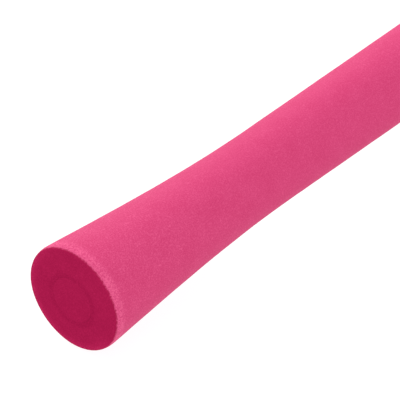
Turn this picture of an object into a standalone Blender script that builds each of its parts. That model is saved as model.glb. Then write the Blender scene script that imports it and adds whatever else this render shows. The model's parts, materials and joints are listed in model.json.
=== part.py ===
"""A bendable hair roller: a foam rod that flares out at both ends, with a soft wire through its middle.

Metres, +Z up. The rod lies along X with its middle at the origin, and it rests on its two end rims.
On the real roller the foam sleeve, the wire and the wire's jacket are one bending piece each. Here each
is turned whole and then cut at every bend of a chain that turns about upright axes: a middle, which
stays, and two arms of bodies numbered outwards.
"""

import math

import bmesh
import bpy
from mathutils import Matrix

# Foam sleeve
LENGTH = 0.240  # over both end faces
BODY_DIAMETER = 0.018  # of the straight middle
END_DIAMETER = 0.026  # at an end rim
FLARE_LENGTH = 0.064  # from an end rim to the straight middle
FLARE_FULLNESS = 0.55  # 0 makes the flare a parabola, and more makes it fuller near the rim
RIM_CHAMFER = 0.0004  # of the cut edge round an end face

# Wire, its jacket and the caps on its ends
WIRE_DIAMETER = 0.0016
JACKET_WALL = 0.0005
TIP_LENGTH = 0.008  # of the cap over a wire end
TIP_END_WALL = 0.001
TIP_CHAMFER = 0.0004

# Foam plug wedged into each end of the sleeve
PLUG_LENGTH = 0.028
PLUG_FLOOR = 0.0087  # foam left between the hole for the wire and the end face

# Bending
BENDS_PER_ARM = 7
BEND_LIMIT = math.radians(33)  # each way, at each bend
RELIEF_MARGIN = math.radians(0.5)  # how much more than half the bend limit a cut's sides slope by
NOSE_ROOM = 0.002  # from a plug's nose to the last bend

CLEARANCE = 0.0003  # between pieces that touch on the real roller
SIDES = 24  # flat sides round every turned piece, with one of them underneath
STATION = 0.004  # the longest step along the flare
SHARP_EDGE = math.radians(35)
WELD = 1e-6

# Worked out from the sizes above
HALF_LENGTH = LENGTH / 2
RIM_X = HALF_LENGTH - RIM_CHAMFER
WIRE_RADIUS = WIRE_DIAMETER / 2
JACKET_BORE = WIRE_RADIUS + CLEARANCE
JACKET_RADIUS = JACKET_BORE + JACKET_WALL
WIRE_HOLE = JACKET_RADIUS + CLEARANCE  # radius of the hole in the foam round the jacket
SLEEVE_WALL = BODY_DIAMETER / 2 - WIRE_HOLE
NOSE_X = HALF_LENGTH - PLUG_LENGTH
HOLE_FLOOR_X = HALF_LENGTH - PLUG_FLOOR
TIP_X = HOLE_FLOOR_X - CLEARANCE
TIP_FLOOR_X = TIP_X - TIP_END_WALL
TIP_MOUTH_X = TIP_X - TIP_LENGTH
JACKET_END_X = TIP_MOUTH_X - CLEARANCE
WIRE_END_X = TIP_FLOOR_X - CLEARANCE
LAST_BEND = NOSE_X - NOSE_ROOM
BEND_SPACING = LAST_BEND / (BENDS_PER_ARM - 0.5)
BENDS = [BEND_SPACING * (number + 0.5) for number in range(BENDS_PER_ARM)]
BLOCK_REACH = 0.6 * END_DIAMETER  # of the cutting blocks from the middle line, past the widest rim


# Outlines, as lists of (x, radius) points -------------------------------------------------------


def sleeve_radius(x):
    """The outside of the foam: straight in the middle, then a smooth trumpet to each end."""
    along = min(1.0, max(0.0, (RIM_X - abs(x)) / FLARE_LENGTH))
    share = (1 - along) ** 2 * (1 + FLARE_FULLNESS * along)
    return (BODY_DIAMETER + share * (END_DIAMETER - BODY_DIAMETER)) / 2


def sleeve_bore(x):
    """The inside of the foam. The wall stays as thick where the plug spreads it."""
    return sleeve_radius(x) - SLEEVE_WALL


def plug_radius(x):
    return sleeve_bore(x) - CLEARANCE


def curve(radius_at, start, end):
    """Points along a curved surface, from x of start to x of end."""
    steps = math.ceil(abs(end - start) / STATION)
    places = [start + (end - start) * step / steps for step in range(steps + 1)]
    return [(x, radius_at(x)) for x in places]


def mirrored(half):
    """A whole outline from the half on the right, which is listed from the middle outwards."""
    return [(-x, radius) for x, radius in reversed(half)] + half


def sleeve_outline():
    outside = curve(sleeve_radius, RIM_X - FLARE_LENGTH, RIM_X)
    rim = [(HALF_LENGTH, END_DIAMETER / 2 - RIM_CHAMFER)]
    inside = curve(sleeve_bore, RIM_X - FLARE_LENGTH, RIM_X) + [(HALF_LENGTH, sleeve_bore(HALF_LENGTH))]
    return mirrored(outside + rim) + mirrored(inside)[::-1]


def jacket_outline():
    outside = [(-JACKET_END_X, JACKET_RADIUS), (JACKET_END_X, JACKET_RADIUS)]
    return outside + [(JACKET_END_X, JACKET_BORE), (-JACKET_END_X, JACKET_BORE)]


def wire_outline():
    return mirrored([(WIRE_END_X, WIRE_RADIUS), (WIRE_END_X, 0.0)])


def plug_outline():
    """A taper that fills the flared bore, with a blind hole for the wire."""
    hole = [(NOSE_X, WIRE_HOLE), (HOLE_FLOOR_X, WIRE_HOLE), (HOLE_FLOOR_X, 0.0)]
    return [(HALF_LENGTH, 0.0)] + curve(plug_radius, HALF_LENGTH, NOSE_X) + hole


def tip_outline():
    """A closed cap over the end of the wire, as thick as the jacket."""
    nose = [(TIP_X, 0.0), (TIP_X, JACKET_RADIUS - TIP_CHAMFER), (TIP_X - TIP_CHAMFER, JACKET_RADIUS)]
    mouth = [(TIP_MOUTH_X, JACKET_RADIUS), (TIP_MOUTH_X, JACKET_BORE)]
    return nose + mouth + [(TIP_FLOOR_X, JACKET_BORE), (TIP_FLOOR_X, 0.0)]


# Meshes and objects ------------------------------------------------------------------------------


def turn(name, outline, material, side=1):
    """A mesh turned about X from an outline, or from its mirror image for side -1."""
    shape = bmesh.new()
    points = [shape.verts.new((side * x, 0.0, -radius)) for x, radius in outline]
    edges = [shape.edges.new(pair) for pair in zip(points, points[1:])]
    if outline[0][1] > 0:
        edges.append(shape.edges.new((points[-1], points[0])))
    whole = {"axis": (1, 0, 0), "angle": 2 * math.pi, "steps": SIDES, "use_merge": True}
    bmesh.ops.spin(shape, geom=points + edges, **whole)
    bmesh.ops.remove_doubles(shape, verts=shape.verts, dist=WELD)

    # half a side round puts a flat side underneath, and the scale makes the radii those of the flats
    half_side = math.pi / SIDES
    flats = 1 / math.cos(half_side)
    bmesh.ops.rotate(shape, matrix=Matrix.Rotation(half_side, 3, "X"), verts=shape.verts)
    bmesh.ops.scale(shape, vec=(1, flats, flats), verts=shape.verts)
    bmesh.ops.recalc_face_normals(shape, faces=shape.faces)

    mesh = bpy.data.meshes.new(name)
    shape.to_mesh(mesh)
    shape.free()
    mesh.materials.append(material)
    mesh.shade_smooth()
    mesh.set_sharp_from_angle(angle=SHARP_EDGE)
    return mesh


def link(name, data, pivot=None):
    """An object whose data is placed by world coordinates, and which turns with its pivot."""
    thing = bpy.data.objects.new(name, data)
    bpy.context.collection.objects.link(thing)
    if pivot:
        thing.parent = pivot
        thing.location = -pivot.matrix_world.translation
    return thing


def add_pivot(name, x, before):
    """An empty at a bend, which turns with the one before it."""
    pivot = link(name, None)
    pivot.location.x = x
    if before:
        pivot.parent = before
        pivot.location -= before.matrix_world.translation
    bpy.context.view_layer.update()
    return pivot


def ridge(bend, inward):
    """One end of a block, beside a bend: a ridge at the bend's axis that slopes back at both sides."""
    near = bend + inward * CLEARANCE / 2
    far = near + inward * BLOCK_REACH * math.tan(BEND_LIMIT / 2 + RELIEF_MARGIN)
    return [(far, -BLOCK_REACH), (near, 0.0), (far, BLOCK_REACH)]


def flat(x):
    """One end of a block, past the end of the rod."""
    return [(x, -BLOCK_REACH), (x, BLOCK_REACH)]


def add_block(name, low_end, high_end, side=1):
    """A cutter round one stretch of the rod, between the ends given."""
    shape = bmesh.new()
    corners = low_end + high_end[::-1]
    floor = shape.faces.new([shape.verts.new((side * x, y, -BLOCK_REACH)) for x, y in corners])
    walls = bmesh.ops.extrude_face_region(shape, geom=[floor])
    raised = [part for part in walls["geom"] if isinstance(part, bmesh.types.BMVert)]
    bmesh.ops.translate(shape, vec=(0, 0, 2 * BLOCK_REACH), verts=raised)
    bmesh.ops.recalc_face_normals(shape, faces=shape.faces)
    mesh = bpy.data.meshes.new(name)
    shape.to_mesh(mesh)
    shape.free()
    cutter = link(name, mesh)
    cutter.hide_render = True
    cutter.display_type = "WIRE"
    return cutter


# Building ----------------------------------------------------------------------------------------


def clear_scene():
    for thing in list(bpy.data.objects):
        bpy.data.objects.remove(thing, do_unlink=True)


def make_material(name, color, roughness, metallic=0.0):
    material = bpy.data.materials.new(name)
    material.use_nodes = True
    shader = material.node_tree.nodes["Principled BSDF"]
    shader.inputs["Base Color"].default_value = (*color, 1.0)
    shader.inputs["Roughness"].default_value = roughness
    shader.inputs["Metallic"].default_value = metallic
    return material


def add_stretch(place, whole_pieces, cutter, pivot=None):
    """What one body holds of each bending piece."""
    for piece, mesh in whole_pieces.items():
        stretch = link(f"{piece}_{place}", mesh, pivot)
        cut = stretch.modifiers.new("stretch", "BOOLEAN")
        cut.operation = "INTERSECT"
        cut.solver = "EXACT"
        cut.object = cutter


def add_arm(arm, side, whole_pieces, plug_foam, tip_plastic):
    """A chain of bodies, each turning about the bend between it and the one before."""
    pivot = None
    ends = [ridge(bend, -1) for bend in BENDS[1:]] + [flat(HALF_LENGTH + BLOCK_REACH)]
    for number, (bend, high_end) in enumerate(zip(BENDS, ends), start=1):
        place = f"{arm}_{number}"
        pivot = add_pivot(f"{arm}_bend_{number}", side * bend, pivot)
        cutter = add_block(f"block_{place}", ridge(bend, 1), high_end, side)
        add_stretch(place, whole_pieces, cutter, pivot)
    link(f"end_plug_{arm}", turn("end_plug", plug_outline(), plug_foam, side), pivot)
    link(f"wire_tip_{arm}", turn("wire_tip", tip_outline(), tip_plastic, side), pivot)


def main():
    clear_scene()
    sleeve_foam = make_material("sleeve_foam", (0.70, 0.065, 0.20), 0.85)
    plug_foam = make_material("plug_foam", (0.66, 0.055, 0.18), 0.85)
    jacket_plastic = make_material("jacket_plastic", (0.80, 0.80, 0.78), 0.45)
    soft_wire = make_material("soft_wire", (0.45, 0.45, 0.46), 0.35, metallic=1.0)
    tip_plastic = make_material("tip_plastic", (0.75, 0.74, 0.70), 0.4)
    whole_pieces = {
        "foam_sleeve": turn("foam_sleeve", sleeve_outline(), sleeve_foam),
        "wire_jacket": turn("wire_jacket", jacket_outline(), jacket_plastic),
        "wire_core": turn("wire_core", wire_outline(), soft_wire),
    }
    middle_block = add_block("block_middle", ridge(-BENDS[0], 1), ridge(BENDS[0], -1))
    add_stretch("middle", whole_pieces, middle_block)
    add_arm("left", -1, whole_pieces, plug_foam, tip_plastic)
    add_arm("right", 1, whole_pieces, plug_foam, tip_plastic)


main()
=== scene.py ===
# %% [markdown]
# # A bendable foam hair roller
#
# The roller is a rod of soft pink foam. A foam plug wedged into each end spreads it like a trumpet, and a
# soft wire through its middle keeps every bend. This lesson dresses a working model of it. The frame
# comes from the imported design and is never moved: it says where each bend is and how big each piece is.

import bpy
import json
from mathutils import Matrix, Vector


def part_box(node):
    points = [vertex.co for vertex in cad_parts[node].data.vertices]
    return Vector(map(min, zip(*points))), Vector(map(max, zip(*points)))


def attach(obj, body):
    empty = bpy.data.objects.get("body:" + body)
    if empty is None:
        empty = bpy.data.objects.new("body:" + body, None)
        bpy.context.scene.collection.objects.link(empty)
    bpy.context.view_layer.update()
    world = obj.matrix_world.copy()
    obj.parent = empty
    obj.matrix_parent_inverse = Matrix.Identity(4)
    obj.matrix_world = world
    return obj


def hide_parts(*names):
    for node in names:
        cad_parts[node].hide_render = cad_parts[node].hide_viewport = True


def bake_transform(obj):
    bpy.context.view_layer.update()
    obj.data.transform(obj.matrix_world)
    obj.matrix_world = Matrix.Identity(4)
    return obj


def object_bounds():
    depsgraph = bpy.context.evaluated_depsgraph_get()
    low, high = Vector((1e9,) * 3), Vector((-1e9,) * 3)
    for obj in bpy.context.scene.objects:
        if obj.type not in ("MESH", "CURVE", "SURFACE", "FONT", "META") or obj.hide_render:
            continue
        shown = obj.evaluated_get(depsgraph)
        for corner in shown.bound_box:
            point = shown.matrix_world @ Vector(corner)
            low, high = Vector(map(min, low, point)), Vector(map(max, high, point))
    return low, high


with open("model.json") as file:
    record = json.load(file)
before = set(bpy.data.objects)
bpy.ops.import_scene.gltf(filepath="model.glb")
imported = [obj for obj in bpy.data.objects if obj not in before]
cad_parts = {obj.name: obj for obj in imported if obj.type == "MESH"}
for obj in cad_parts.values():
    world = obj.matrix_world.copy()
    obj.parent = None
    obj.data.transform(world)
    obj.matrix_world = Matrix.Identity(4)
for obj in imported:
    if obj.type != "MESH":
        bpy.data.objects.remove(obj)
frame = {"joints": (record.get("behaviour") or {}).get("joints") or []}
design_low, design_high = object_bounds()
print("the design is", [round(side * 1000, 1) for side in design_high - design_low], "mm")

# %% [markdown]
# ## What the pieces take from the design
#
# Sizes could be typed in again, but then a longer or thicker roller would no longer fit its own skin.
# Here they are read from the boxes of the design's nodes and from its joints, and only what a box can't
# say is written as a value: how the flare swells, and how far a cut edge is rounded.

# %% Read the sizes
import json
import math

import bmesh
import bpy
from mathutils import Vector, noise

ARMS = {"left": -1, "right": 1}  # the side of the middle that each arm lies on
HALF_LENGTH = design_high.x
END_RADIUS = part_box("foam_sleeve_right_7")[1].z
BODY_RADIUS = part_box("foam_sleeve_middle")[1].z
JACKET_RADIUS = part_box("wire_jacket_middle")[1].z
WIRE_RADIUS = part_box("wire_core_middle")[1].z
PLUG_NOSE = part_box("end_plug_right")[0].x
TIP_MOUTH, TIP_NOSE = (corner.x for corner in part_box("wire_tip_right"))
TIP_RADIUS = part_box("wire_tip_right")[1].z
JACKET_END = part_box("wire_jacket_right_7")[1].x
WIRE_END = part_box("wire_core_right_7")[1].x

FLARE_LENGTH = 0.064  # from the end of the roller to where its sides run straight
FLARE_FULLNESS = 0.55  # 0 makes the flare a parabola, and more makes it fuller near the end
EDGE_ROUNDING = 0.0009  # of the cut edge round an end, seen from the end
EDGE_ROLL = 0.0023  # how far along the rod the same edge is rounded
CUT_EDGE = 0.0011  # how far behind the cut end the skin begins
WIRE_FIT = 0.00005  # between the jacket and the foam that grips it
SLEEVE_HOLE = JACKET_RADIUS + WIRE_FIT
SEAM = SLEEVE_HOLE + END_RADIUS - BODY_RADIUS  # the radius of a plug's wide end

bends = sorted(joint["pos_m"][0] for joint in frame["joints"] if joint["name"].startswith("right"))
section = bends[1] - bends[0]
borders = [bend - section / 2 for bend in bends] + [bends[-1] + section / 2]
print(len(bends), "bends in each arm,", round(section * 1000, 2), "mm apart")

# %% [markdown]
# ## Studio and camera
#
# Small salon goods are shown on a white table in a white room. One bare lamp would light the rod too, but
# it would draw a hard shadow. So a wide soft box stands behind and above the rod: it gives the foam a
# bright upper edge and leaves the end that faces the camera in shade. A second one overhead fills in. The
# table glows a little, as a light table does, so hardly any shadow is left under the rod. A very long
# lens far away keeps the two sides of the rod parallel.

# %% Set up the studio
ROOM_LIGHT = 1.0
TABLE_GLOW = 0.93
SOFT_BOXES = {  # where each stands, how wide it is, and its power in watts
    "soft_box_behind": ((0.42, 0.60, 0.38), 0.5, 3.2),
    "soft_box_above": ((-0.06, -0.05, 0.8), 0.6, 0.9),
}
VIEW_AZIMUTH = math.radians(-47.6)
VIEW_ELEVATION = math.radians(39.2)
VIEW_WIDTH = 0.0868  # how much of the roller's surroundings the picture takes in
END_FROM_MIDDLE = (0.02777, 0.02176)  # how far left and down in the picture the end's middle lies
LENS = 1600

scene = bpy.context.scene
scene.view_settings.view_transform = "Standard"

room = bpy.data.worlds.new("white_room")
room.use_nodes = True
room.node_tree.nodes["Background"].inputs["Color"].default_value = (1, 1, 1, 1)
room.node_tree.nodes["Background"].inputs["Strength"].default_value = ROOM_LIGHT
scene.world = room


def add_soft_box(name, place, width, power):
    """A square area light that faces the middle of the roller's left arm."""
    lamp = bpy.data.lights.new(name, "AREA")
    lamp.size = width
    lamp.energy = power
    soft_box = bpy.data.objects.new(name, lamp)
    scene.collection.objects.link(soft_box)
    target = Vector((-HALF_LENGTH / 2, 0, 0))
    soft_box.location = place
    soft_box.rotation_euler = (target - soft_box.location).to_track_quat("-Z", "Y").to_euler()
    soft_box.visible_camera = False


for name, (place, width, power) in SOFT_BOXES.items():
    add_soft_box(name, place, width, power)
print("lit by", " and ".join(SOFT_BOXES))

# %% Place the camera
toward_camera = Vector((
    math.sin(VIEW_AZIMUTH) * math.cos(VIEW_ELEVATION),
    -math.cos(VIEW_AZIMUTH) * math.cos(VIEW_ELEVATION),
    math.sin(VIEW_ELEVATION),
))
turned = toward_camera.to_track_quat("Z", "Y")
picture_right = turned @ Vector((1, 0, 0))
picture_up = turned @ Vector((0, 1, 0))

camera = bpy.data.objects.new("camera", bpy.data.cameras.new("camera"))
scene.collection.objects.link(camera)
scene.camera = camera
camera.data.lens = LENS
distance = VIEW_WIDTH * LENS / camera.data.sensor_width
aim = Vector((-HALF_LENGTH, 0, 0)) + picture_right * END_FROM_MIDDLE[0] + picture_up * END_FROM_MIDDLE[1]
camera.location = aim + toward_camera * distance
camera.rotation_euler = turned.to_euler()
camera.data.clip_end = 4 * distance  # far enough for the whole table
print("the camera stands", round(distance, 2), "m from the roller")

# %% [markdown]
# ## Nodes in few words
#
# Every finish below is a small web of shader nodes. They could be added one by one, but each takes three
# or four lines, and the same few come back in every finish. So helpers do it: add_node adds a node and
# feeds its inputs, and the others are short for a sum, a noise, a ramp of colours, a fade and a relief.

# %% Add and feed nodes


def new_finish(name, roughness, **settings):
    """A material with one Principled shader, and what is the same all over it set on the shader itself."""
    finish = bpy.data.materials.new(name)
    finish.use_nodes = True
    shader = finish.node_tree.nodes["Principled BSDF"]
    shader.inputs["Roughness"].default_value = roughness
    for socket, value in settings.items():
        shader.inputs[socket.replace("_", " ")].default_value = value
    return finish, shader


def add_node(shader, kind, options=None, **feeds):
    """A node beside the shader. A feed is a value, or the output of another node."""
    tree = shader.id_data
    node = tree.nodes.new("ShaderNode" + kind)
    for option, value in (options or {}).items():
        setattr(node, option, value)
    for socket, source in feeds.items():
        slot = node.inputs[int(socket[1:])] if socket[1:].isdigit() else node.inputs[socket]
        if isinstance(source, bpy.types.NodeSocket):
            tree.links.new(source, slot)
        else:
            slot.default_value = source
    return node


def feed(shader, socket, output):
    shader.id_data.links.new(output, shader.inputs[socket])


def work_out(shader, operation, *feeds):
    """A sum of one, two or three feeds."""
    numbered = {f"_{number}": feed for number, feed in enumerate(feeds)}
    return add_node(shader, "Math", {"operation": operation}, **numbered).outputs[0]


# %% Short forms for patterns


def clouds(shader, place, size, detail):
    """A soft noise whose lighter and darker spots are about one size across."""
    return add_node(shader, "TexNoise", Vector=place, Scale=1 / size, Detail=detail).outputs["Fac"]


def tones(shader, share, colors):
    """A ramp through evenly spaced colours."""
    ramp = add_node(shader, "ValToRGB", Fac=share)
    stops = ramp.color_ramp.elements
    while len(stops) < len(colors):
        stops.new(0.5)  # its true place comes below
    for number, color in enumerate(colors):
        stops[number].position = number / (len(colors) - 1)
        stops[number].color = (*color, 1)
    return ramp.outputs["Color"]


def fade(shader, value, nothing, everything):
    """0 up to one value and 1 from another on, with a soft start and end."""
    ramp = add_node(shader, "MapRange", {"interpolation_type": "SMOOTHSTEP"}, Value=value)
    ramp.inputs["From Min"].default_value = nothing
    ramp.inputs["From Max"].default_value = everything
    return ramp.outputs["Result"]


def press_in(shader, pattern, depth):
    """Shows a pattern as relief, as high in metres as the depth where the pattern is 1."""
    relief = add_node(shader, "Bump", Height=work_out(shader, "MULTIPLY", pattern, depth), Distance=1.0)
    feed(shader, "Normal", relief.outputs["Normal"])


def place_on_rod(shader):
    """Where a point lies on the straight rod, however the rod is bent."""
    return add_node(shader, "Attribute", {"attribute_name": "place"}).outputs["Vector"]


print("the short forms are ready")

# %% [markdown]
# ## The table
#
# The table is a smooth white board. A flat colour would do for it, but it would also look like no table
# at all. A faint cloudiness in its white is enough.

# %% Lay the table
TABLE_WIDTH = 6.0
TABLE_ROUGHNESS = 0.6
TABLE_TONES = [(0.11, 0.11, 0.11), (0.13, 0.13, 0.13)]
CLOUD_SIZE = 0.05

table_finish, shader = new_finish("white_table", TABLE_ROUGHNESS)
where = add_node(shader, "TexCoord").outputs["Object"]
feed(shader, "Base Color", tones(shader, clouds(shader, where, CLOUD_SIZE, 2.0), TABLE_TONES))
shader.inputs["Emission Color"].default_value = (1, 1, 1, 1)
shader.inputs["Emission Strength"].default_value = TABLE_GLOW

shape = bmesh.new()
bmesh.ops.create_grid(shape, x_segments=1, y_segments=1, size=TABLE_WIDTH / 2)
bmesh.ops.translate(shape, vec=(0, 0, design_low.z), verts=shape.verts)
table_mesh = bpy.data.meshes.new("table")
shape.to_mesh(table_mesh)
shape.free()
table_mesh.materials.append(table_finish)
table = bpy.data.objects.new("table", table_mesh)
scene.collection.objects.link(table)
print("the table lies at", round(design_low.z * 1000, 1), "mm")

# %% [markdown]
# ## Foam
#
# The foam is most likely a closed-cell plastic foam, dyed right through, with cells about a third of a
# millimetre wide. The outside is a thin skin in which the cells show as a fine grain, and it catches the
# light at a shallow angle. A cut end has no skin: light sinks into the open cells and comes back deeper
# and redder. The flare stretches the skin, so its cells open and the grain gets stronger towards the end.
# Just behind the cut the skin is pulled over the rolled edge, which makes it paler and full of crumbs. The
# cut itself is darker where the plug squeezes it. One side of its rim has a painted glow: it is coloured
# lighter, as light from behind shining through the thin edge would make it.
#
# Skin and cut could be two separate recipes. One recipe mixes both finishes, because a face that lies
# half on the skin and half on the cut needs both looks: a "cut" value at every vertex says where the foam
# was cut. The two finishes differ in gloss only. The plug was cut all over.
#
# Patterns usually follow Object coordinates. This rod bends, and such a pattern would slide over it, so
# every vertex keeps its place on the straight rod as an attribute, and the cells are laid out on that.

# %% Values for the foam
CELL = 0.00031  # across one cell
FUZZ = 0.00018  # across the finest marks
PATCH = 0.0045  # across a lighter or darker patch
CRUMB = 0.0005  # across a crumb by the cut
CELL_SHARE = 0.5  # how much of the grain is cells, and the rest is fuzz
GRAIN_LEVEL = 0.45  # the shade of the grain that leaves the tone as it is
SKIN_GRAIN = 1.3  # how strongly the grain shades the straight skin
FLARE_GRAIN = 0.6  # how much stronger it shades the skin at the end of the flare
CUT_GRAIN = 1.1  # how strongly it shades a cut
PATCH_STRENGTH = 0.36
BASE_SHADE = 0.105  # where foam without patches or grain lies between its darkest and lightest tone
SKIN_PITS = 0.00003
CUT_PITS = 0.00006

STRETCH = 0.0016  # how far behind the rolled edge the skin is stretched paler
CRUMB_STRENGTH = 1.6
CRUMB_SHADE = -0.45  # what is added where no crumb lies
SQUEEZE = 0.0011  # how far from the seam the plug squeezes the foam darker
SQUEEZE_STRENGTH = -0.18
# painted light: a glow on one side of the cut's rim stands in for light shining through the thin edge
GLOW_RIM = 0.0032  # how far in from the rim the painted glow of light through the edge reaches
GLOW_STRENGTH = 0.5
GLOW_SIDE = (0, 0.64, -0.77)  # the side of the rim that is painted lighter, as if lit through the edge from behind
GLOW_FROM, GLOW_TO = -0.5, 0.3  # how much a place faces that side where the painted glow starts and is full
RAGGED_CRUMBS, RAGGED_FUZZ, RAGGED_SHIFT = 0.8, 0.4, -0.6  # what frays the line between skin and cut
OPEN_FROM, OPEN_TO = 0.15, 0.55  # the frayed cut value where cells start to be open and all are

SKIN_TONES = [(0.56, 0.038, 0.138), (0.61, 0.053, 0.168), (0.66, 0.071, 0.200), (0.76, 0.104, 0.246)]
CUT_TONES = [(0.315, 0.0072, 0.053), (0.370, 0.0098, 0.064), (0.42, 0.0128, 0.076), (0.50, 0.022, 0.102)]
SKIN_ROUGHNESS, SKIN_GLOSS = 0.65, 0.06
CUT_ROUGHNESS, CUT_GLOSS = 0.95, 0.0
print("a cell is", CELL * 1000, "mm wide")

# %% Shade the skin and the cut


def from_axis(shader, place):
    across = add_node(shader, "VectorMath", {"operation": "MULTIPLY"}, _0=place, _1=(0, 1, 1))
    length = add_node(shader, "VectorMath", {"operation": "LENGTH"}, _0=across.outputs["Vector"])
    return length.outputs["Value"]


def shade_skin(shader, place, grains, mottle, crumbs):
    """The skin's shade: grainier along the flare, and paler where it is pulled over the edge."""
    along = add_node(shader, "SeparateXYZ", Vector=place).outputs["X"]
    from_middle = work_out(shader, "ABSOLUTE", along)
    opened = fade(shader, from_middle, HALF_LENGTH - FLARE_LENGTH, HALF_LENGTH)
    strength = work_out(shader, "MULTIPLY_ADD", opened, FLARE_GRAIN, SKIN_GRAIN)
    shade = work_out(shader, "MULTIPLY_ADD", grains, strength, mottle)
    near_end = fade(shader, from_middle, HALF_LENGTH - EDGE_ROLL - STRETCH, HALF_LENGTH - EDGE_ROLL)
    crumbly = work_out(shader, "MULTIPLY_ADD", crumbs, CRUMB_STRENGTH, CRUMB_SHADE)
    return work_out(shader, "ADD", shade, work_out(shader, "MULTIPLY", near_end, crumbly))


def shade_cut(shader, place, grains, mottle):
    """The shade of a cut: darker where the plug squeezes it, with a painted glow that lightens one side of
    its rim.
    """
    radius = from_axis(shader, place)
    from_ring = work_out(shader, "ABSOLUTE", work_out(shader, "SUBTRACT", radius, SEAM + SQUEEZE / 2))
    squeezed = fade(shader, from_ring, SQUEEZE, 0)
    # painted light: one side of the rim is coloured lighter, as a glow of light through the thin edge
    glow_side_dot = add_node(shader, "VectorMath", {"operation": "DOT_PRODUCT"}, _0=place, _1=GLOW_SIDE)
    glow_side_share = work_out(shader, "DIVIDE", glow_side_dot.outputs["Value"], radius)
    painted_glow = fade(shader, radius, END_RADIUS - GLOW_RIM, END_RADIUS - EDGE_ROUNDING / 2)
    painted_glow = work_out(shader, "MULTIPLY", painted_glow, fade(shader, glow_side_share, GLOW_FROM, GLOW_TO))
    shade = work_out(shader, "MULTIPLY_ADD", grains, CUT_GRAIN, mottle)
    shade = work_out(shader, "MULTIPLY_ADD", squeezed, SQUEEZE_STRENGTH, shade)
    return work_out(shader, "MULTIPLY_ADD", painted_glow, GLOW_STRENGTH, shade)


def find_open_cells(shader, crumbs, fuzz):
    """0 on skin and 1 on a cut, with a frayed line between them."""
    cut = add_node(shader, "Attribute", {"attribute_name": "cut"}).outputs["Fac"]
    frayed = work_out(shader, "MULTIPLY_ADD", fuzz, RAGGED_FUZZ, RAGGED_SHIFT)
    frayed = work_out(shader, "MULTIPLY_ADD", crumbs, RAGGED_CRUMBS, frayed)
    return fade(shader, work_out(shader, "ADD", frayed, cut), OPEN_FROM, OPEN_TO)


# %% Mix the foam


def mix_foam(name, roughness, gloss):
    """Foam of one gloss, which shows its skin tones where it wasn't cut and its cut tones where it was."""
    finish, shader = new_finish(name, roughness, Specular_IOR_Level=gloss)
    place = place_on_rod(shader)
    cell = add_node(shader, "TexVoronoi", Vector=place, Scale=1 / CELL).outputs["Distance"]
    fuzz = clouds(shader, place, FUZZ, 2.0)
    fine = work_out(shader, "MULTIPLY", fuzz, 1 - CELL_SHARE)
    grain = work_out(shader, "MULTIPLY_ADD", cell, CELL_SHARE, fine)
    grains = work_out(shader, "ADD", grain, -GRAIN_LEVEL)
    mottle = work_out(shader, "MULTIPLY_ADD", clouds(shader, place, PATCH, 3.0), PATCH_STRENGTH, BASE_SHADE)
    crumbs = clouds(shader, place, CRUMB, 1.0)

    open_cells = find_open_cells(shader, crumbs, fuzz)
    skin = tones(shader, shade_skin(shader, place, grains, mottle, crumbs), SKIN_TONES)
    inside = tones(shader, shade_cut(shader, place, grains, mottle), CUT_TONES)
    both = add_node(shader, "Mix", {"data_type": "RGBA"}, _0=open_cells, _6=skin, _7=inside)
    feed(shader, "Base Color", both.outputs[2])
    press_in(shader, grain, work_out(shader, "MULTIPLY_ADD", open_cells, CUT_PITS - SKIN_PITS, SKIN_PITS))
    return finish


skin_foam = mix_foam("foam_skin", SKIN_ROUGHNESS, SKIN_GLOSS)
cut_foam = mix_foam("foam_cut", CUT_ROUGHNESS, CUT_GLOSS)
print("mixed", skin_foam.name, "and", cut_foam.name)

# %% [markdown]
# ## Turning a piece
#
# Every piece of the roller is round, as if it came off a lathe. It could start from a cylinder whose
# rings are scaled one by one. Drawing half of its section and spinning it needs fewer steps, and the
# outline stays easy to read: corners first, then a bevel on the corners that are round, then
# subdivided edges where the surface has to bend or swell.

# %% Draw an outline and turn it
WELD = 1e-7
SHARE_OF_A_STEP = 0.01  # a run this much over a whole number of steps isn't split once more


def draw_outline(corners, side):
    """The section of a turned piece, from (x, radius) corners. It is a loop if it stays off the axis."""
    shape = bmesh.new()
    points = [shape.verts.new((side * x, 0, -radius)) for x, radius in corners]
    joined = list(zip(points, points[1:]))
    if corners[0][1] > 0:
        joined.append((points[-1], points[0]))
    for pair in joined:
        shape.edges.new(pair)
    return shape, points


def round_corner(shape, corner, radius, segments=6):
    rounding = {"affect": "VERTICES", "offset_type": "OFFSET", "profile": 0.5, "material": -1}
    bmesh.ops.bevel(shape, geom=[corner], offset=radius, segments=segments, **rounding)


def split_runs(shape, fine, coarse, shows=lambda x, radius: True):
    """Splits an outline's long edges: into fine steps where the surface shows, and coarse ones elsewhere."""
    for edge in list(shape.edges):
        middle = (edge.verts[0].co + edge.verts[1].co) / 2
        step = fine if shows(abs(middle.x), -middle.z) else coarse
        cuts = math.ceil(edge.calc_length() / step - SHARE_OF_A_STEP) - 1
        if cuts > 0:
            bmesh.ops.subdivide_edges(shape, edges=[edge], cuts=cuts)


def turn(shape, sides):
    """Spins an outline about the rod's axis and closes what meets on the axis."""
    section = shape.verts[:] + shape.edges[:]
    whole = {"axis": (1, 0, 0), "angle": 2 * math.pi, "steps": sides, "use_merge": True}
    bmesh.ops.spin(shape, geom=section, **whole)
    bmesh.ops.remove_doubles(shape, verts=shape.verts, dist=WELD)
    bmesh.ops.recalc_face_normals(shape, faces=shape.faces)


# %% [markdown]
# ## Keeping a piece
#
# A real roller bends in one sweep. In the design it bends at fourteen places, and each stretch between
# two of them is a body. A piece could ride on one body, but then it would stay straight and break away
# from the next piece. Here each long piece only has its placement baked into its mesh, and rides no body.
# Before that, every vertex writes down its place on the straight rod for the finishes.

# %% Keep a piece and bake its placement
SHARP_EDGE = math.radians(40)


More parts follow.
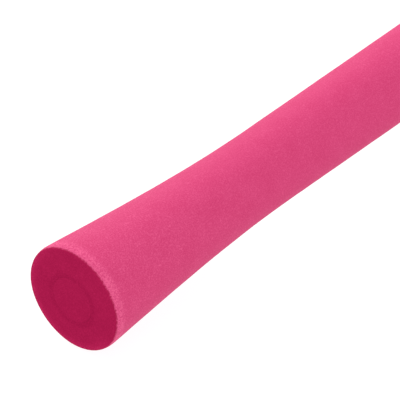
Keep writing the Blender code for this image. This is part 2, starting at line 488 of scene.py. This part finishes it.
def keep_piece(name, shape, finish):
    """Makes the shape a piece whose every vertex remembers its place on the straight rod."""
    mesh = bpy.data.meshes.new(name)
    shape.to_mesh(mesh)
    shape.free()
    mesh.materials.append(finish)
    mesh.shade_smooth()
    mesh.set_sharp_from_angle(angle=SHARP_EDGE)
    places = [axis for vertex in mesh.vertices for axis in vertex.co]
    mesh.attributes.new("place", "FLOAT_VECTOR", "POINT").data.foreach_set("vector", places)
    piece = bpy.data.objects.new(name, mesh)
    scene.collection.objects.link(piece)
    print(name, "has", len(mesh.polygons), "faces")
    return piece


def body_name(arm, number):
    return f"{arm}_{number}" if number else "middle"


def bend_with(piece):
    """Bakes the piece's placement into its mesh."""
    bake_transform(piece)


print("the last stretch bends from", body_name("right", len(bends) - 1), "to", body_name("right", len(bends)))

# %% [markdown]
# ## Foam sleeve
#
# On the real roller the sleeve is one straight tube of foam. The plugs push its ends open, so every
# point of the wall moves outwards by the same amount, and the wall keeps its thickness. The same is
# done here: a straight tube is drawn, and then spread.
#
# The sleeve could be one mesh, but it has to bend at fourteen places, and a mesh can turn between two
# bodies only. So it is made in fourteen stretches, one round each bend. Neighbouring stretches end on the
# same ring of points, halfway between two bends.

# %% Shape the flare and the edge
FOAM_SIDES = 240
EDGE_SEGMENTS = 10


def spread_at(x):
    """How far the plug has pushed the foam outwards at a place along the rod."""
    along = min(1.0, max(0.0, (HALF_LENGTH - abs(x)) / FLARE_LENGTH))
    return (1 - along) ** 2 * (1 + FLARE_FULLNESS * along) * (END_RADIUS - BODY_RADIUS)


def roll_edge(shape):
    """Stretches the rounding of the cut edge along the rod, as pushing the end open curls its skin in."""
    for vertex in shape.verts:
        behind = HALF_LENGTH - abs(vertex.co.x)
        if behind < EDGE_ROUNDING + WELD:
            longer = behind * (EDGE_ROLL / EDGE_ROUNDING - 1)
            vertex.co.x -= math.copysign(longer, vertex.co.x)


def spread(shape):
    for vertex in shape.verts:
        vertex.co.z -= spread_at(vertex.co.x)


def cut_share(place):
    """0 on the skin and 1 on a cut end, with the start of the rounded edge in between."""
    return min(1.0, max(0.0, (abs(place.x) - HALF_LENGTH + CUT_EDGE) / CUT_EDGE))


halfway = HALF_LENGTH - FLARE_LENGTH / 2
print("halfway along a flare the wall is spread by", round(spread_at(halfway) * 1000, 2), "mm")

# %% Roughen the foam and mark its cuts
LUMP = 0.006  # across a soft lump
LUMP_DEPTH = 0.00003
DENT = 0.0009  # across a fine dent
DENT_DEPTH = 0.00001
CHIP = 0.0005  # across a chip in the cut edge
CHIP_DEPTH = 0.00008
CHIP_REACH = 0.0012  # how far from the edge the chips end
FULLY_CUT = 0.5  # a face whose every corner is cut this much takes the finish of a cut


def roughen(shape):
    """Gives foam its soft lumps and fine dents, and small chips where a cut edge crumbled."""
    for vertex in shape.verts:
        place = vertex.co.copy()
        radius = math.hypot(place.y, place.z)
        share = cut_share(place)
        if radius < spread_at(place.x) + BODY_RADIUS / 2 and share < 1:
            continue  # the wall of a hole stays smooth
        outward = Vector((math.copysign(share, place.x), 0, 0))
        outward += Vector((0, place.y, place.z)) * (1 - share) / max(radius, WELD)
        push = LUMP_DEPTH * noise.noise(place / LUMP) + DENT_DEPTH * noise.noise(place / DENT)
        edge = math.hypot(HALF_LENGTH - abs(place.x), END_RADIUS - radius)
        near_edge = max(0.0, 1 - edge / CHIP_REACH)
        push -= CHIP_DEPTH * near_edge * max(0.0, noise.noise(place / CHIP))
        vertex.co = place + outward * push


def mark_cuts(piece, share_at):
    """Tells the foam how far each vertex was cut, and gives those shares back."""
    shares = [share_at(vertex.co) for vertex in piece.data.vertices]
    piece.data.attributes.new("cut", "FLOAT", "POINT").data.foreach_set("value", shares)
    return shares


def dull_cuts(piece, shares):
    """Gives the faces that are cut at every corner the finish without gloss."""
    piece.data.materials.append(cut_foam)
    for face in piece.data.polygons:
        face.material_index = int(min(shares[corner] for corner in face.vertices) > FULLY_CUT)


# %% Make the foam sleeve
SKIN_STEP = 0.0005
END_STEP = 0.0003
HIDDEN_STEP = 0.002
LIP = 0.00003  # the rounding on each side of the seam


def make_sleeve(arm, side):
    for number, start in enumerate(borders[:-1], start=1):
        last = number == len(bends)
        end = HALF_LENGTH if last else borders[number]
        corners = [(start, BODY_RADIUS), (end, BODY_RADIUS), (end, SLEEVE_HOLE), (start, SLEEVE_HOLE)]
        shape, points = draw_outline(corners, side)
        if last:
            round_corner(shape, points[1], EDGE_ROUNDING, segments=EDGE_SEGMENTS)
            roll_edge(shape)
            round_corner(shape, points[2], LIP)
        step = END_STEP if last else SKIN_STEP
        split_runs(shape, step, HIDDEN_STEP, lambda x, radius: radius == BODY_RADIUS or x == HALF_LENGTH)
        spread(shape)
        turn(shape, FOAM_SIDES)
        roughen(shape)
        piece = keep_piece(f"foam_skin_{arm}_{number}", shape, skin_foam)
        dull_cuts(piece, mark_cuts(piece, cut_share))
        bend_with(piece)
        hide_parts(*(f"foam_sleeve_{body_name(arm, near)}" for near in (number - 1, number)))


for arm, side in ARMS.items():
    make_sleeve(arm, side)

# %% [markdown]
# ## End plugs
#
# A plug is a cone of the same foam, pressed in until its wide end is flush with the end of the sleeve. A
# disc on the end would look the same from outside, but a whole plug keeps the roller true when it is
# taken apart. Only its wide end shows. The seam round it is too fine to be seen by itself: its two
# rounded lips and the darker, squeezed foam beside it draw the ring. The plug's nose lies where the foam
# still turns round the last bend.

# %% Make the end plugs
PLUG_STEP = 0.0004
PLUG_GAP = 0.00001
NOSE_ROOM = 0.0003  # between the wire's cap and the floor of the hole it sits in
HOLE_FLOOR = TIP_NOSE + NOSE_ROOM


def make_plug(arm, side):
    steps = math.ceil((HALF_LENGTH - PLUG_NOSE) / HIDDEN_STEP)
    places = [HALF_LENGTH + (PLUG_NOSE - HALF_LENGTH) * number / steps for number in range(steps + 1)]
    outside = [(x, SLEEVE_HOLE + spread_at(x) - PLUG_GAP) for x in places]
    hole = [(PLUG_NOSE, SLEEVE_HOLE), (HOLE_FLOOR, SLEEVE_HOLE), (HOLE_FLOOR, 0)]
    shape, points = draw_outline([(HALF_LENGTH, 0), *outside, *hole], side)
    round_corner(shape, points[1], LIP)
    split_runs(shape, PLUG_STEP, HIDDEN_STEP, lambda x, radius: x == HALF_LENGTH)
    turn(shape, FOAM_SIDES)
    roughen(shape)
    piece = keep_piece(f"foam_plug_{arm}", shape, cut_foam)
    mark_cuts(piece, lambda place: 1.0)
    bend_with(piece)
    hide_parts(f"end_plug_{arm}")


for arm, side in ARMS.items():
    make_plug(arm, side)

# %% [markdown]
# ## What lies inside
#
# A soft steel wire keeps the bends. It is drawn through a die, which leaves fine lines along it and dull
# patches of oil and oxide. A thin tube of milky polyethylene round it keeps it from cutting the foam, and
# a cap pushed on each end of the wire keeps its point from working out. None of this shows until the foam
# comes off. Plain grey and white would do from afar. But a noise drawn out along the rod costs one node
# more and gives the lines, so wire and jacket get it. The caps are molded, so they have specks instead.

# %% Mix the finishes inside
LINE_WIDTH = 0.00012
LINE_LENGTH = 0.012
LINE_STRENGTH = 1.2
BLOTCH = 0.0011
BLOTCH_STRENGTH = 0.8
BLOTCH_SHIFT = -0.5  # brings the shade back between its two tones
SPECK = 0.00025
DULLNESS = 0.3  # how much roughness varies between the glossiest and the dullest spot
RELIEF = 0.00001
STEEL_TONES = [(0.22, 0.21, 0.20), (0.46, 0.45, 0.44)]
MILKY_TONES = [(0.46, 0.46, 0.44), (0.64, 0.64, 0.61)]
CAP_TONES = [(0.48, 0.45, 0.38), (0.60, 0.57, 0.49)]


def vary_gloss(shader, pattern, roughness):
    feed(shader, "Roughness", work_out(shader, "MULTIPLY_ADD", pattern, DULLNESS, roughness - DULLNESS / 2))


def mix_drawn(name, colors, roughness, metallic=0.0):
    """A finish with lines along the rod and duller blotches, as drawing or extruding leaves."""
    finish, shader = new_finish(name, roughness, Metallic=metallic)
    place = place_on_rod(shader)
    along = (1 / LINE_LENGTH, 1 / LINE_WIDTH, 1 / LINE_WIDTH)
    stretched = add_node(shader, "Mapping", Vector=place, Scale=along).outputs["Vector"]
    lines = clouds(shader, stretched, 1.0, 2.0)
    blotches = clouds(shader, place, BLOTCH, 3.0)
    dull = work_out(shader, "MULTIPLY_ADD", blotches, BLOTCH_STRENGTH, BLOTCH_SHIFT)
    shade = work_out(shader, "MULTIPLY_ADD", lines, LINE_STRENGTH, dull)
    feed(shader, "Base Color", tones(shader, shade, colors))
    vary_gloss(shader, blotches, roughness)
    press_in(shader, lines, RELIEF)
    return finish


def mix_molded(name, colors, roughness):
    """A finish with fine specks in its colour and gloss, as a molded plastic has."""
    finish, shader = new_finish(name, roughness)
    specks = clouds(shader, place_on_rod(shader), SPECK, 3.0)
    feed(shader, "Base Color", tones(shader, specks, colors))
    vary_gloss(shader, specks, roughness)
    press_in(shader, specks, RELIEF)
    return finish


wire_steel = mix_drawn("drawn_steel", STEEL_TONES, roughness=0.4, metallic=1.0)
milky_plastic = mix_drawn("milky_plastic", MILKY_TONES, roughness=0.42)
cap_plastic = mix_molded("cap_plastic", CAP_TONES, roughness=0.5)
print("mixed", wire_steel.name, "and", milky_plastic.name, "and", cap_plastic.name)

# %% [markdown]
# ## Jacket and wire
#
# Both lie along the axis. A curve with a thickness would make each in one line, but
# only a mesh can be blended over a bend. So they are turned like the sleeve and come in the same stretches.
# The wire's cut ends have their burr rubbed off, and so has the mouth of the jacket beside the cap.

# %% Make the jacket and the wire
ROUND_SIDES = 48
RING_STEP = 0.001
BURR_SEGMENTS = 4
JACKET_MOUTH = 0.0001  # the rounding of the jacket's mouth
WIRE_BURR = 0.00015  # the rounding of the wire's cut end


def make_lining(name, arm, number, outer, inner, ends_at, rounding, finish):
    """One stretch of the jacket, or of the wire if its inner radius is 0."""
    last = number == len(bends)
    start, end = borders[number - 1], ends_at if last else borders[number]
    corners = [(end, inner), (end, outer), (start, outer), (start, inner)]
    shape, points = draw_outline(corners, ARMS[arm])
    if last:
        round_corner(shape, points[1], rounding, segments=BURR_SEGMENTS)
    split_runs(shape, RING_STEP, RING_STEP)
    turn(shape, ROUND_SIDES)
    piece = keep_piece(f"{name}_{arm}_{number}", shape, finish)
    bend_with(piece)
    return piece


for arm in ARMS:
    for number in range(1, len(bends) + 1):
        near = [body_name(arm, number - 1), body_name(arm, number)]
        tube_size = (JACKET_RADIUS, WIRE_RADIUS + WIRE_FIT, JACKET_END, JACKET_MOUTH)
        tube = make_lining("jacket", arm, number, *tube_size, milky_plastic)
        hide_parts(*(f"wire_jacket_{body}" for body in near))
        wire = make_lining("core_wire", arm, number, WIRE_RADIUS, 0, WIRE_END, WIRE_BURR, wire_steel)
        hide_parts(*(f"wire_core_{body}" for body in near))

# %% [markdown]
# ## Wire caps
#
# A cap is a blind sleeve with a round nose, as wide as the jacket. It grips the wire by a shallow groove
# pinched round it. The groove could be cut with a ring-shaped tool after turning. It is simpler to lower
# the outline's points before, as a crimping tool presses the real one in. The nose is thick, so the
# wire's end has to push through more than a skin of plastic.

# %% Make the wire caps
CAP_SIDES = 64
CAP_STEP = 0.0005
GROOVE_STEP = CAP_STEP / 3
WIRE_GAP = 0.00002  # between the wire and the cap
NOSE_ROUNDING = 0.0005
MOUTH_ROUNDING = 0.00012
PINCH_WIDTH = 0.0014
PINCH_DEPTH = 0.00012


def pinch(x):
    """How deep the groove of the cap is at a place along it."""
    from_middle = abs(abs(x) - (TIP_MOUTH + TIP_NOSE) / 2) / (PINCH_WIDTH / 2)
    return PINCH_DEPTH * 0.5 * (1 + math.cos(math.pi * min(1.0, from_middle)))


def make_cap(arm, side):
    hole = WIRE_RADIUS + WIRE_GAP
    outside = [(TIP_NOSE, 0), (TIP_NOSE, TIP_RADIUS), (TIP_MOUTH, TIP_RADIUS)]
    inside = [(TIP_MOUTH, hole), (WIRE_END + WIRE_GAP, hole), (WIRE_END + WIRE_GAP, 0)]
    shape, points = draw_outline(outside + inside, side)
    round_corner(shape, points[1], NOSE_ROUNDING)
    round_corner(shape, points[2], MOUTH_ROUNDING)
    split_runs(shape, GROOVE_STEP, CAP_STEP, lambda x, radius: radius == TIP_RADIUS)
    for point in shape.verts:
        if -point.co.z > TIP_RADIUS - WELD:
            point.co.z += pinch(point.co.x)
    turn(shape, CAP_SIDES)
    piece = keep_piece(f"wire_cap_{arm}", shape, cap_plastic)
    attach(piece, body_name(arm, len(bends)))
    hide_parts(f"wire_tip_{arm}")


for arm, side in ARMS.items():
    make_cap(arm, side)
